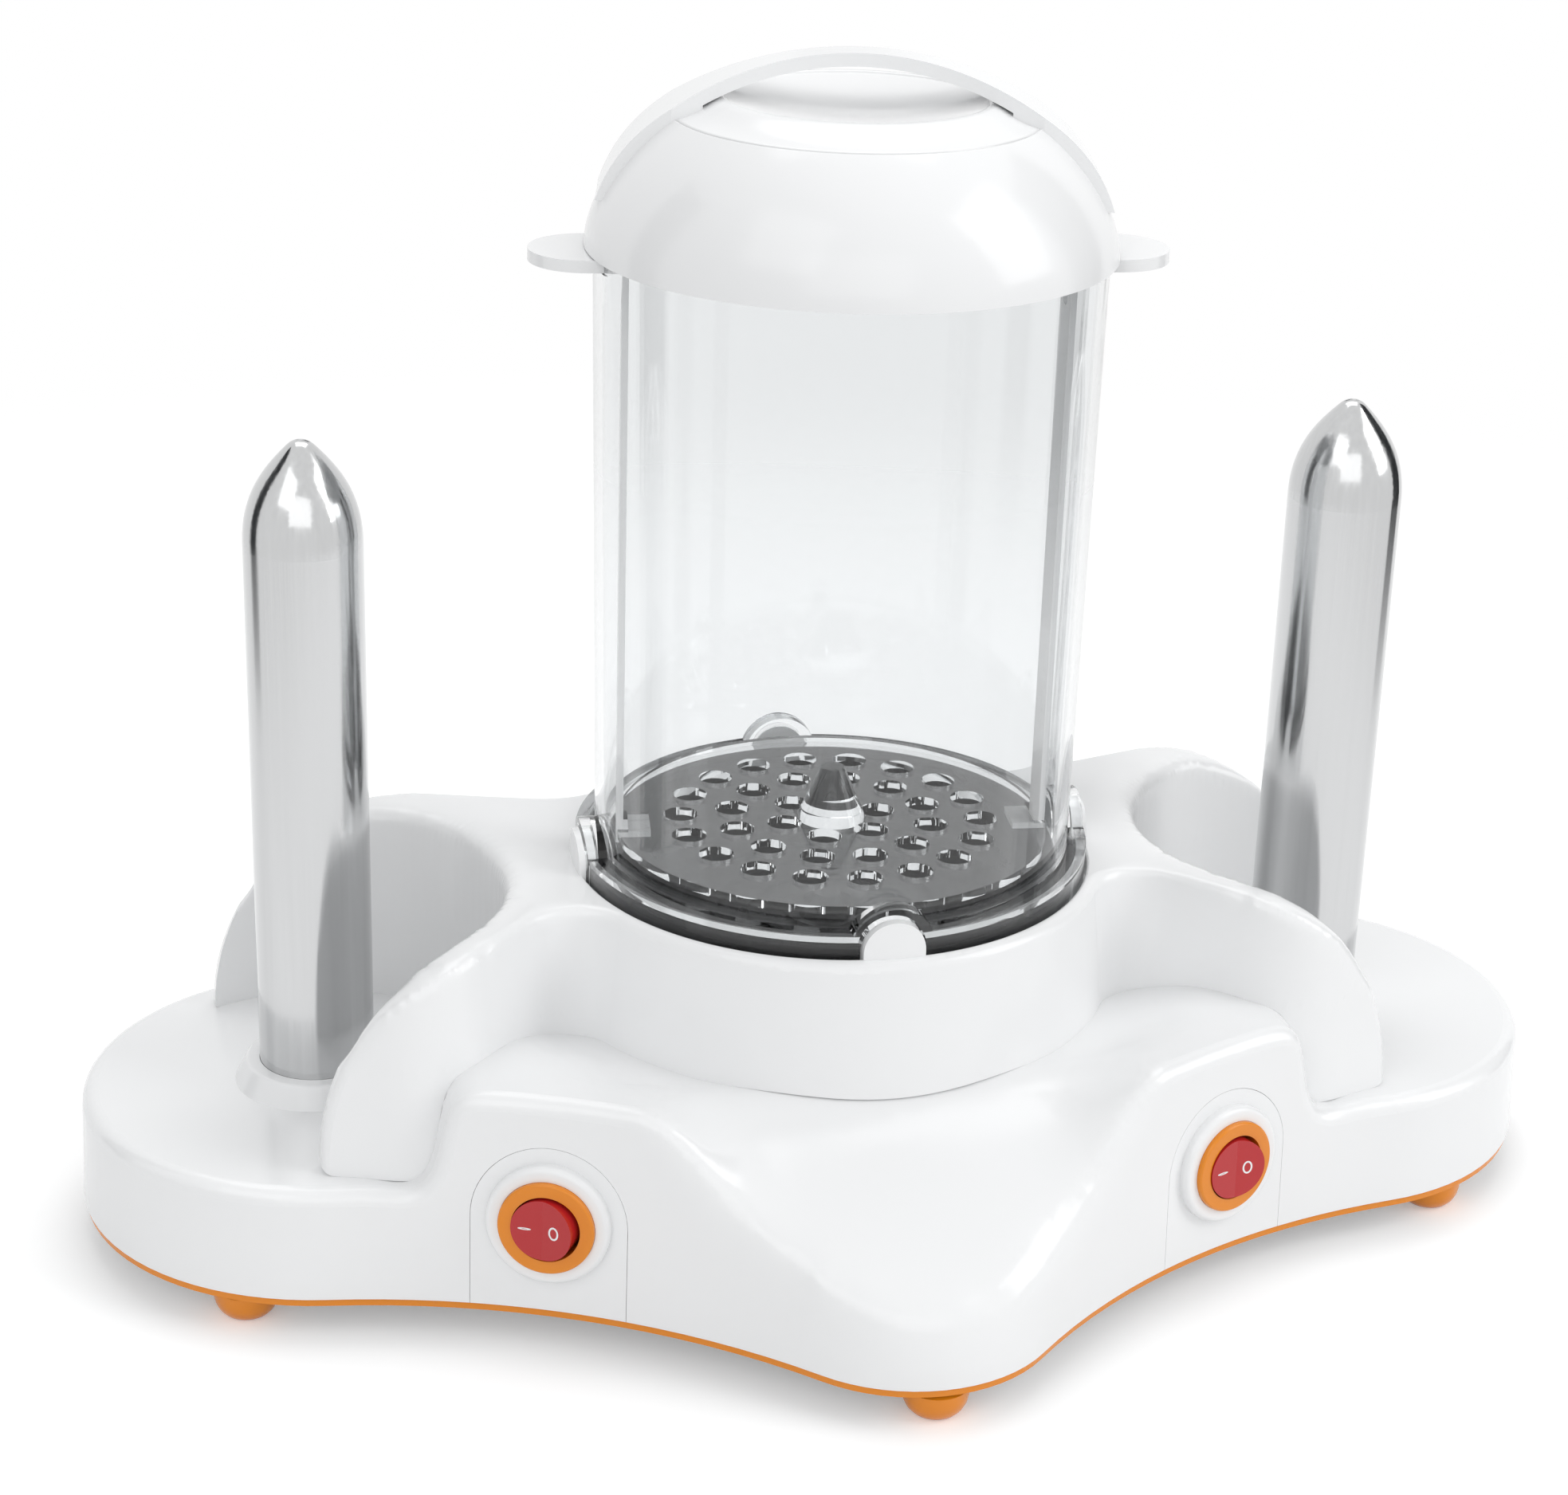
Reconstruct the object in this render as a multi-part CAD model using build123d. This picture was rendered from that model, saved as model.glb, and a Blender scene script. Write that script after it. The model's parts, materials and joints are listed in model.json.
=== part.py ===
from build123d import *
import math
import os

# Hot dog spike machine: a low white base with four lobes, a central drum that
# carries a clear cooking cylinder with a domed lid, and a heated steel spike
# in a hollow at each side. Millimetres. The origin is on the floor, under the
# middle of the drum; +X runs to the right spike, -Y to the switches, +Z up.

# Feet and bottom plate
foot_h = 7.5
foot_r = 8.4
foot_edge_r = 3.0
foot_stem_r = 3.0
foot_stem_gap = 0.08
foot_side_x = 157.0
foot_side_y = 46.8
foot_nose_y = 120.0
plate_t = 3.0
plate_inset = 0.5
plate_z = foot_h
base_z = plate_z + plate_t

# Plan of the base: round side lobes, round noses and hollow waists between
lobe_x = 131.3
lobe_r = 63.5
nose_y = 90.0
nose_r = 38.7
waist_r = 190.0
wall_draft = 2.0
wall_t = 2.6
rim_r = 4.0

# Top of the base: side platforms, deck, shallow dish round the drum, front slope
platform_z = 39.6
deck_z = 66.5
step_foot_x = 118.0
step_head_x = 102.0
dish_z = 60.0
dish_w = 30.0
slope_start_y = 70.0
slope_soft = 6.0
slope_fall = 0.62
slope_flat_x = 36.0
slope_end_x = 64.0
surf_margin = 6.0
surf_step = 7.0
surf_tol = 0.2

# Tower: drum and the walls that wrap round the spikes
drum_r = 73.7
tower_z = 94.0
tower_draft = 6.0
hollow_r = 48.0
hollow_skirt_t = 2.4
tip_t = 3.0
front_valley_x = 75.0
front_valley_y = 26.5
front_valley_r = 10.0
front_elbow_x = 107.0
front_elbow_y = 61.5
front_tip_x = 138.5
front_fall_x = 97.0
rear_valley_x = 60.0
rear_valley_y = 45.0
rear_valley_r = 20.0
rear_elbow_x = 112.0
rear_elbow_y = 60.0
rear_tip_x = 157.5
rear_fall_x = 105.0
elbow_r = 24.0
tower_front_r = 3.0
tower_rear_r = 1.0
pocket_edge_r = 0.8
top_face_share = 0.3
drum_wall_t = 2.6
drum_bore_r = 60.0
deck_hole_r = 66.0
ledge_t = 2.6

# Clear cooking cylinder, open at both ends, with a stepped skirt
cyl_top_r = 62.8
cyl_foot_r = 61.3
cyl_t = 2.4
cyl_top_z = 253.4
skirt_r = 66.3
skirt_top_z = 99.6
skirt_gap = 0.5
seat_z = 88.4
seat_gap = 0.3
lug_w = 15.6
lug_z = 103.5
lug_t = 3.2
lug_gap = 0.5
lug_root = 1.0
lug_n = 4
hump_t = 2.4

# Heating bowl, its seal and what hangs under it
upstand_z = 89.8
upstand_r = 63.2
seal_t = 1.0
seal_w = 2.6
bowl_flange_r = 63.0
bowl_flange_t = 1.6
bowl_r = 58.0
bowl_t = 2.0
bowl_depth = 17.0
bowl_corner_r = 8.0
bowl_ring_n = 4
bowl_ring_h = 1.2
bowl_ring_w = 2.2
bowl_ring_step = 10.0
bowl_hub_r = 7.5
bowl_hub_h = 5.0
stud_r = 2.5
element_ring_r = 38.0
element_r = 3.6
element_open = 50.0
element_tail = 14.0
clamp_w = 16.0
clamp_l = 92.0
clamp_t = 1.5
nut_r = 4.6
nut_h = 4.0
nut_gap = 0.05
thermostat_r = 7.0
thermostat_x = 22.0
fuse_r = 2.2
fuse_l = 16.0

# Sausage rack: two grips on straps that carry a clear plate
rack_turn = -6.0
tab_r = 14.0
tab_t = 3.0
tab_x = 64.6
tab_top_z = cyl_top_z
strap_w = 11.0
strap_t = 1.7
strap_x = 55.8
strap_hole_r = 2.4
strap_hole_drop = 9.0
strap_foot_l = 7.0
strap_foot_t = 1.6
rack_plate_r = 55.8
rack_plate_t = 2.2
rack_plate_z = 101.0
rack_hole_r = 4.5
rack_hole_rows = 3
rack_row_holes = 6
rack_hole_turn = 15.0
rack_hole_step = 13.0
rack_cone_r = 9.0
rack_cone_h = 14.0
notch_gap = 0.5

# Lid: dome, dished crown and a strap handle
lid_turn = -12.0
lid_seat_gap = 0.3
lid_seat_w = 3.0
lid_z = cyl_top_z + lid_seat_gap
lid_r = 65.0
lid_t = 2.3
lid_dome_h = 31.7
lid_dome_z = lid_z + lid_dome_h
lid_lip_r = 45.0
lid_lip_w = 2.0
lid_groove = 0.9
lid_crown_r = 33.5
lid_crown_h = 4.6
lid_crown_z = lid_dome_z + lid_crown_h
lid_crown_dip = 4.0
dome_side_share = 2.274
dome_top_share = 1.63
dome_height = 45.1
dome_points = 6
handle_top_h = 11.0
handle_top_z = lid_crown_z + handle_top_h
handle_out_r = 82.0
handle_t = 3.2
handle_mid_w = 9.0
handle_end_w = 24.0
handle_end_x = 44.0
handle_leg_x = 62.0
handle_leg_h = 12.3
handle_leg_z = lid_z + handle_leg_h
handle_leg_steep_share = 3.0

# Spikes
spike_x = 134.2
spike_r = 14.6
spike_t = 1.2
spike_top_z = 210.0
spike_nose_l = 26.0
spike_tip_r = 4.0
spike_gap = 0.08
collar_r = 21.0
collar_top_r = 18.0
collar_h = 5.8
collar_edge_r = 1.0
spike_nut_r = 20.0
spike_nut_t = 5.0
spike_nut_gap = 0.1
spike_tail = 6.0
rod_r = 5.0
rod_l = 150.0
bush_t = 8.0
bush_gap = 0.06

# Switches on the two front waists
switch_x = 86.3
switch_z = 34.8
panel_r = 19.5
panel_gap = 0.12
panel_reach = 7.0
bezel_r = 15.6
bezel_h = 3.0
bezel_edge_r = 1.4
flange_r = 12.0
flange_t = 2.0
flange_seat = 0.6
flange_gap = 0.06
flange_edge_r = 0.6
barrel_r = 9.9
barrel_l = 15.0
barrel_gap = 0.06
key_r = 7.9
key_bore_r = 8.6
key_bore_l = 10.0
key_crown = 4.7
key_dip = 1.0
key_skirt = 3.2
key_tilt = 9.0
pivot_drop = 3.0
pivot_r = 1.2
pivot_gap = 0.05
pivot_end_gap = 0.3
blade_w = 4.8
blade_t = 0.8
blade_l = 8.0
blade_x = 4.5

# Fixings, terminal block and gland
screw_r = 1.5
screw_l = 13.0
screw_head_r = 3.2
screw_head_h = 2.0
screw_gap = 0.04
post_r = 4.2
post_side_x = 174.0
post_inner_x = 92.0
post_inner_y = 52.0
post_nose_y = 103.0
vent_n = 7
vent_l = 40.0
vent_w = 3.0
vent_step = 9.0
block_l = 34.0
block_w = 17.0
block_h = 13.0
block_y = 78.0
block_hole_r = 1.8
block_hole_step = 10.0
gland_x = 46.0
gland_z = 24.0
gland_r = 6.0
gland_flange_r = 8.2
gland_flange_t = 2.2
gland_bore_r = 3.6
gland_gap = 0.06

# One overrun for every cut
over = 60.0


def toward(a, b, dist):
    """Point at a distance from a on the way to b."""
    d = math.hypot(b[0] - a[0], b[1] - a[1])
    return (a[0] + (b[0] - a[0]) * dist / d, a[1] + (b[1] - a[1]) * dist / d)


def ease(t):
    """Smooth step from 0 to 1."""
    t = min(max(t, 0.0), 1.0)
    return t * t * (3 - 2 * t)


def solid_of(face, amount, down=False):
    """Straight prism over or under a face."""
    return extrude(face, amount=amount, dir=(0, 0, -1 if down else 1))


def turned(points):
    """Solid turned round Z from an outline in radius and height."""
    return revolve(Plane.XZ * make_face(Polyline(*points, close=True)), axis=Axis.Z)


def rod(radius, z0, z1, x=0.0, y=0.0):
    """Upright round rod between two heights."""
    return Pos(x, y, z0) * Cylinder(radius, z1 - z0, align=(Align.CENTER, Align.CENTER, Align.MIN))


def brick(x0, x1, y0, y1, z0, z1):
    """Upright block between two corners."""
    size = (x1 - x0, y1 - y0, z1 - z0)
    return Pos(x0, y0, z0) * Box(*size, align=(Align.MIN, Align.MIN, Align.MIN))


def nearest(items, point):
    """The item whose centre lies nearest to a point."""
    return min(items, key=lambda e: (e.center() - Vector(*point)).length)


def circle_edge(body, radius, z):
    """The round edge nearest to a radius and a height."""
    edges = body.edges().filter_by(GeomType.CIRCLE)
    return min(edges, key=lambda e: abs(e.radius - radius) + abs(e.arc_center.Z - z))


# Base

def waist_centre():
    """Centre of the arc that hollows the front right side of the plan."""
    a = lobe_r + waist_r
    b = nose_r + waist_r
    d = math.hypot(lobe_x, nose_y)
    s = (a * a - b * b + d * d) / (2 * d)
    h = math.sqrt(a * a - s * s)
    ux, uy = -lobe_x / d, -nose_y / d
    return (lobe_x + ux * s - uy * h, uy * s + ux * h)


def star_face(inset=0.0):
    """The four-lobed plan, drawn in by an inset."""
    lobe, nose = (lobe_x, 0.0), (0.0, -nose_y)
    w = waist_centre()
    p = toward(lobe, w, lobe_r - inset)
    q = toward(nose, w, nose_r - inset)
    m = toward(w, ((p[0] + q[0]) / 2, (p[1] + q[1]) / 2), waist_r + inset)
    edges = []
    for s in (1, -1):
        tip = (s * (lobe_x + lobe_r - inset), 0.0)
        end = (0.0, s * (-nose_y - nose_r + inset))
        edges.append(ThreePointArc((s * p[0], p[1]), tip, (s * p[0], -p[1])))
        edges.append(ThreePointArc((-q[0], s * q[1]), end, (q[0], s * q[1])))
        for t in (1, -1):
            ends = [(s * c[0], t * c[1]) for c in (p, m, q)]
            edges.append(ThreePointArc(*ends))
    return make_face(Wire.combine(edges)[0])


def top_height(x, y):
    """Height of the base's top over a point of the plan."""
    reach = (math.hypot(x, y) - drum_r) / dish_w
    deck = dish_z + (deck_z - dish_z) * ease(reach)
    step = ease((step_foot_x - abs(x)) / (step_foot_x - step_head_x))
    z = platform_z + (deck - platform_z) * step
    u = max(0.0, -y - slope_start_y)
    slope = dish_z - slope_fall * u * u / (u + slope_soft)
    w = ease((slope_end_x - abs(x)) / (slope_end_x - slope_flat_x)) if y < 0 else 0.0
    return z + (min(slope, z) - z) * w


def under_top():
    """Solid under the base's top surface."""
    far_x = lobe_x + lobe_r + surf_margin
    far_y = nose_y + nose_r + surf_margin
    nx = round(far_x / surf_step)
    ny = round(far_y / surf_step)
    xs = [far_x * i / nx for i in range(-nx, nx + 1)]
    ys = [far_y * j / ny for j in range(-ny, ny + 1)]
    points = [[Vector(x, y, top_height(x, y)) for y in ys] for x in xs]
    face = Face.make_surface_from_array_of_points(points, tol=surf_tol)
    return solid_of(face, deck_z + over, down=True)


def outer_block():
    """The base as a full block with a rounded rim, cut down to the platforms in the hollows."""
    block = extrude(Pos(0, 0, base_z) * star_face(), amount=deck_z + over - base_z, taper=wall_draft)
    block &= under_top()
    return fillet(rim_edges(block), rim_r) - hollow_cut(hollow_r + hollow_skirt_t, platform_z)


def inner_block():
    """The space inside the base's walls, with the screw posts left standing."""
    grow = (base_z - plate_z) * math.tan(math.radians(wall_draft))
    face = Pos(0, 0, plate_z) * star_face(wall_t - grow)
    low, high = platform_z - wall_t, dish_z - wall_t
    block = extrude(face, amount=high - plate_z, taper=wall_draft)
    far = lobe_x + lobe_r
    right = [(step_head_x, high), (step_foot_x - wall_t, low), (far, low), (far, 0)]
    front = Polyline(*right, *[(-x, z) for x, z in reversed(right)], close=True)
    block &= extrude(Plane.XZ * make_face(front), amount=far, both=True)
    fall = slope_fall * (far - slope_start_y)
    side = Polyline((far, high), (-slope_start_y, high), (-far, high - fall), (-far, 0), (far, 0),
                    close=True)
    block &= extrude(Plane.YZ * make_face(side), amount=far, both=True)
    posts = [rod(post_r, base_z, deck_z, x, y) for x, y in post_places()]
    return block - [*hollow_cut(hollow_r + hollow_skirt_t + wall_t, low), *posts]


def hollow_cut(radius, z):
    """The two round hollows over the side platforms."""
    return [rod(radius, z, tower_z + over, x=s * spike_x) for s in (1, -1)]


def post_places():
    """Centres of the screw posts under the base."""
    inner = [(s * post_inner_x, t * post_inner_y) for s in (1, -1) for t in (1, -1)]
    side = [(s * post_side_x, 0.0) for s in (1, -1)]
    nose = [(0.0, t * post_nose_y) for t in (1, -1)]
    return inner + side + nose


def foot_places():
    """Centres of the six feet."""
    side = [(s * foot_side_x, t * foot_side_y) for t in (-1, 1) for s in (-1, 1)]
    return side + [(0.0, -foot_nose_y), (0.0, foot_nose_y)]


def wall_plane(x, z, s, t=1):
    """Plane on a waist's wall: X level, Y up, Z outward; s and t mirror it in X and Y."""
    cx, cy = waist_centre()
    y = cy + math.sqrt(waist_r ** 2 - (x - cx) ** 2)
    tilt = math.radians(wall_draft)
    sink = (z - base_z) * math.tan(tilt)
    nx, ny = (cx - x) / waist_r, (cy - y) / waist_r
    origin = (s * (x - nx * sink), t * (y - ny * sink), z)
    normal = (s * nx * math.cos(tilt), t * ny * math.cos(tilt), math.sin(tilt))
    return Plane(origin=origin, x_dir=(-t * ny, s * nx, 0), z_dir=normal)


def switch_plane(s):
    """Plane on the front wall at a switch."""
    return wall_plane(switch_x, switch_z, s)


def panel_prism(s, gap=0.0):
    """Arched prism across the wall, round at the top and open at the bottom."""
    r = panel_r + gap
    low = Pos(0, -switch_z / 2) * Rectangle(2 * r, switch_z)
    return extrude(switch_plane(s) * (Circle(r) + low), amount=panel_reach, both=True)


def gland_plane():
    """Plane at the cord gland on the rear wall, where its flat flange touches the hollow."""
    return wall_plane(gland_x, gland_z, 1, -1).offset(gland_flange_r ** 2 / (2 * waist_r))


def rim_edges(block):
    """Edges between the base's walls and its top surface."""
    tops = [f for f in block.faces() if f.center().Z > platform_z and f.normal_at().Z > 0]
    return max(tops, key=lambda f: f.area).outer_wire().edges()


def make_base():
    """Outer block, inner space, housing and the two switch panels."""
    outer = outer_block()
    shell = outer - inner_block()
    cuts = [rod(deck_hole_r, platform_z, deck_z + over)]
    cuts.append(gland_plane() * rod(gland_r + gland_gap, -panel_reach, panel_reach))
    for s in (1, -1):
        cuts.append(rod(spike_r + spike_gap, base_z, deck_z, x=s * spike_x))
        cuts.append(panel_prism(s, panel_gap))
    for x, y in post_places():
        cuts.append(rod(screw_r + screw_gap, base_z, base_z + screw_l, x, y))
    panels = [make_panel(s, shell) for s in (-1, 1)]
    return outer, shell - cuts, panels


def make_panel(s, shell):
    """Arched switch panel: a piece of the wall with a raised round bezel."""
    ring = turned([(barrel_r + barrel_gap, -wall_t), (bezel_r, -wall_t), (bezel_r, bezel_h),
                   (barrel_r + barrel_gap, bezel_h)])
    ring = fillet(circle_edge(ring, bezel_r, bezel_h), bezel_edge_r)
    ring -= rod(flange_r + flange_gap, bezel_h - flange_seat, bezel_h + over)
    panel = panel_prism(s) & shell
    panel -= switch_plane(s) * rod(barrel_r + barrel_gap, -panel_reach, panel_reach)
    return panel + switch_plane(s) * ring


def make_plate():
    """Bottom plate with vents, foot holes and screw holes."""
    plate = extrude(Pos(0, 0, plate_z) * star_face(plate_inset), amount=plate_t)
    for x, y in foot_places():
        plate -= rod(foot_stem_r + foot_stem_gap, plate_z, base_z, x, y)
    for x, y in post_places():
        plate -= rod(screw_r + screw_gap, plate_z, base_z, x, y)
    for i in range(vent_n):
        x = (i - (vent_n - 1) / 2) * vent_step
        slot = extrude(Pos(x, 0, plate_z) * SlotOverall(vent_l, vent_w, rotation=90), amount=plate_t)
        plate -= slot
    return plate


def make_foot(x, y):
    """Round foot with a stem in the bottom plate."""
    body = rod(foot_r, 0, foot_h)
    body = fillet(circle_edge(body, foot_r, 0), foot_edge_r)
    return Pos(x, y, 0) * (body + rod(foot_stem_r, foot_h, base_z))


def make_screws():
    """Pan-head screws that hold the bottom plate to the posts."""
    screws = []
    for x, y in post_places():
        head = rod(screw_head_r, plate_z - screw_head_h, plate_z, x, y)
        screws.append(head + rod(screw_r, plate_z, plate_z + screw_l, x, y))
    return screws


# Tower

def tower_plan():
    """Plan of the drum and its four wings at the foot of the drum."""
    plan = Sketch() + Circle(drum_r)
    corners = []
    wings = [(-1, front_valley_x, front_valley_y, front_valley_r, front_elbow_x, front_elbow_y,
              front_tip_x),
             (1, rear_valley_x, rear_valley_y, rear_valley_r, rear_elbow_x, rear_elbow_y,
              rear_tip_x)]
    for t, vx, vy, vr, ex, ey, tx in wings:
        span = math.hypot(ex - vx, ey - vy)
        qx, qy = toward((ex, ey), (vx, vy), span + drum_r / 3)
        ty = math.sqrt((hollow_r + tip_t) ** 2 - (tx - spike_x) ** 2)
        for s in (1, -1):
            line = [(qx, qy), (ex, ey), (tx, ty), (tx, 0), (qx, 0)]
            plan += make_face(Polyline(*[(s * x, t * y) for x, y in line], close=True))
            corners += [((s * vx, t * vy, 0), vr), ((s * ex, t * ey, 0), elbow_r)]
    for point, radius in corners:
        plan = fillet(nearest(plan.vertices(), point), radius)
    return plan


def tower_sky(fall_x, tip_x, amount):
    """Front view of the tower: flat on top, falling in a quarter ellipse."""
    a, b = tip_x - fall_x, tower_z - platform_z
    right = EllipticalCenterArc((fall_x, platform_z), a, b, start_angle=0, arc_size=90)
    left = EllipticalCenterArc((-fall_x, platform_z), a, b, start_angle=90, arc_size=90)
    top = Line(right @ 1, left @ 0)
    low = Line(left @ 1, right @ 0)
    face = make_face(Wire.combine([right, top, left, low])[0])
    return extrude(Plane.XZ * face, amount=amount)


def tower_edges(block, t):
    """Outer edges of the tower's top faces: at the front with t -1, at the rear with t 1."""
    tops = [f for f in block.faces() if f.normal_at().Z > top_face_share]
    counts = {}
    for face in tops:
        for edge in face.edges():
            counts[edge] = counts.get(edge, 0) + 1
    mids = [(e, e @ 0.5) for e, n in counts.items() if n == 1]
    near_r = hollow_r + tip_t / 10
    return [e for e, m in mids if m.Y * t > 0 and math.hypot(abs(m.X) - spike_x, m.Y) > near_r]


def tombstone(width, top, extra=0.0):
    """Front view of a lug with a round top, level with the skirt's seat."""
    r = width / 2 + extra
    low = Pos(0, (seat_z + top - width / 2) / 2) * Rectangle(2 * r, top - width / 2 - seat_z)
    return Pos(0, top - width / 2) * Circle(r) + low


def ring_of(r0, r1, z0, z1):
    """Plain ring between two radii and two heights."""
    return rod(r1, z0, z1) - rod(r0, z0, z1)


def lug_prisms(extra=0.0):
    """Prisms that run outward through the four lugs."""
    face = Plane.YZ * tombstone(lug_w, lug_z, extra)
    one = extrude(face, amount=drum_r)
    return Part() + [Rot(0, 0, i * 360 / lug_n) * one for i in range(lug_n)]


def make_tower(outer):
    """Drum with its ledge and lugs, and the walls round the spikes."""
    grow = (dish_z - platform_z) * math.tan(math.radians(tower_draft))
    foot = Pos(0, 0, platform_z) * offset(tower_plan(), amount=grow)
    block = extrude(foot, amount=tower_z - platform_z, taper=tower_draft)
    sky = tower_sky(front_fall_x, front_tip_x, drum_r + over)
    sky += tower_sky(rear_fall_x, rear_tip_x, -drum_r - over)
    block = (block & sky) - hollow_cut(hollow_r, platform_z)
    block = fillet(tower_edges(block, -1), tower_front_r)
    block = fillet(tower_edges(block, 1), tower_rear_r)
    pocket_r = skirt_r + skirt_gap
    block -= rod(pocket_r, seat_z, tower_z + over)
    block = fillet(circle_edge(block, pocket_r, tower_z), pocket_edge_r)
    ledge_z = seat_z - ledge_t
    under_r = drum_r - (ledge_z - dish_z) * math.tan(math.radians(tower_draft)) - drum_wall_t
    block -= rod(drum_bore_r, platform_z, tower_z + over)
    block -= rod(under_r, platform_z, ledge_z)
    block += ring_of(drum_bore_r, upstand_r, ledge_z, upstand_z)
    lugs = lug_prisms() & ring_of(pocket_r - lug_t, pocket_r + lug_root, seat_z, lug_z)
    return (block - outer) + lugs


# Cylinder, bowl and heating parts

def make_container():
    """Clear cylinder with a stepped skirt, arched over the lugs, and two top notches."""
    body = turned([(cyl_foot_r - cyl_t, skirt_top_z - cyl_t), (skirt_r - cyl_t, skirt_top_z - cyl_t),
                   (skirt_r - cyl_t, seat_z + seat_gap), (skirt_r, seat_z + seat_gap),
                   (skirt_r, skirt_top_z), (cyl_foot_r, skirt_top_z), (cyl_top_r, cyl_top_z),
                   (cyl_top_r - cyl_t, cyl_top_z)])
    hump_z = lug_z + lug_gap + hump_t
    body += lug_prisms(lug_gap + hump_t) & ring_of(cyl_foot_r - cyl_t / 2, skirt_r, skirt_top_z, hump_z)
    body -= lug_prisms(lug_gap) & ring_of(skirt_r + skirt_gap - lug_t - lug_gap, drum_r, 0, hump_z)
    half = tab_r + notch_gap
    low = tab_top_z - tab_t - notch_gap
    return body - Rot(0, 0, rack_turn) * brick(-drum_r, drum_r, -half, half, low, cyl_top_z + over)


def bowl_levels():
    """Heights of the bowl's flange top, its inner floor and its underside."""
    flange = upstand_z + seal_t + bowl_flange_t
    floor = flange - bowl_depth
    return flange, floor, floor - bowl_t


def make_bowl():
    """Pressed bowl with a flange, concentric ridges, a hub and a stud below."""
    flange, floor, under = bowl_levels()
    body = turned([(0, under), (bowl_r, under), (bowl_r, flange - bowl_flange_t),
                   (bowl_flange_r, flange - bowl_flange_t), (bowl_flange_r, flange), (0, flange)])
    body = fillet(circle_edge(body, bowl_r, under), bowl_corner_r)
    hole = rod(bowl_r - bowl_t, floor, flange)
    hole = fillet(circle_edge(hole, bowl_r - bowl_t, floor), bowl_corner_r - bowl_t)
    body -= hole
    for i in range(1, bowl_ring_n + 1):
        r = i * bowl_ring_step
        body += ring_of(r - bowl_ring_w / 2, r + bowl_ring_w / 2, floor, floor + bowl_ring_h)
    body += Pos(0, 0, floor) * Cone(bowl_hub_r, bowl_hub_r / 2, bowl_hub_h,
                                    align=(Align.CENTER, Align.CENTER, Align.MIN))
    clamp_z = under - 2 * element_r
    return body + rod(stud_r, clamp_z - clamp_t - nut_h, under)


def make_element():
    """Open ring of round heating tube with two tails that turn down."""
    _, _, under = bowl_levels()
    z = under - element_r
    a = math.radians(element_open / 2)
    sweep_deg = 360 - element_open
    ends = [(element_ring_r * math.sin(t * a), element_ring_r * math.cos(t * a), z) for t in (1, -1)]
    ring = revolve(Plane.XZ * Pos(element_ring_r, z) * Circle(element_r), axis=Axis.Z,
                   revolution_arc=sweep_deg)
    ring = Rot(0, 0, 90 + element_open / 2) * ring
    for x, y, _ in ends:
        ring += rod(element_r, z - element_tail, z, x, y)
        ring += Pos(x, y, z) * Sphere(element_r)
    return ring


def make_clamp():
    """Flat strap that holds the element against the bowl."""
    _, _, under = bowl_levels()
    z = under - 2 * element_r
    plan = SlotOverall(clamp_l, clamp_w)
    return extrude(Pos(0, 0, z - clamp_t) * plan, amount=clamp_t) - rod(stud_r + nut_gap, 0, z)


def make_nut(radius, height, bore, z, x=0.0):
    """Hexagonal nut whose top face is at a height."""
    plan = RegularPolygon(radius, 6) - Circle(bore)
    return extrude(Pos(x, 0, z - height) * plan, amount=height)


def make_thermostat():
    """Disc thermostat between the strap and the bowl."""
    _, _, under = bowl_levels()
    z = under - 2 * element_r
    return rod(thermostat_r, z, under, thermostat_x)


def make_fuse():
    """Thermal fuse that lies on the strap."""
    _, _, under = bowl_levels()
    z = under - 2 * element_r + fuse_r
    return Pos(-thermostat_x, 0, z) * Rot(90, 0, 0) * Cylinder(fuse_r, fuse_l)


# Rack

def make_grip(s):
    """Finger tab with a long strap and a foot under the rack's plate."""
    tab_z = tab_top_z - tab_t
    inner = strap_x - strap_t
    plan = Pos(tab_x, 0) * Circle(tab_r)
    plan = (plan + Pos((inner + tab_x) / 2, 0) * Rectangle(tab_x - inner, 2 * tab_r))
    plan &= Pos(inner + drum_r / 2, 0) * Rectangle(drum_r, 2 * tab_r)
    body = extrude(Pos(0, 0, tab_z) * plan, amount=tab_t)
    low = rack_plate_z - strap_foot_t
    half = strap_w / 2
    body += brick(inner, strap_x, -half, half, low, tab_z)
    body += brick(inner - strap_foot_l, strap_x, -half, half, low, rack_plate_z)
    hole = Pos(strap_x, 0, tab_z - strap_hole_drop) * Rot(0, 90, 0) * Cylinder(strap_hole_r, 2 * strap_w)
    return Rot(0, 0, rack_turn + (0 if s > 0 else 180)) * (body - hole)


def make_rack_plate():
    """Clear round plate with rings of holes and a hollow cone in the middle."""
    z = rack_plate_z
    plan = Circle(rack_plate_r)
    slot = Rectangle(2 * strap_t + 2 * notch_gap, strap_w + 2 * notch_gap)
    for s in (1, -1):
        plan -= Pos(s * (strap_x - strap_t / 2), 0) * slot
    for i in range(1, rack_hole_rows + 1):
        r = i * rack_hole_step
        plan -= PolarLocations(r, i * rack_row_holes, start_angle=rack_hole_turn) * Circle(rack_hole_r)
    plate = extrude(Pos(0, 0, z) * plan, amount=rack_plate_t)
    cone = Pos(0, 0, z + rack_plate_t) * Cone(rack_cone_r, rack_cone_r / 3, rack_cone_h,
                                              align=(Align.CENTER, Align.CENTER, Align.MIN))
    return Rot(0, 0, rack_turn) * (plate + cone)


# Lid

def dome_z(r, inset=0.0):
    """Height of the dome over a radius."""
    share = min(1.0, r / (lid_r - inset)) ** dome_side_share
    return lid_z + (dome_height - inset) * (1 - share) ** (1 / dome_top_share)


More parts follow.
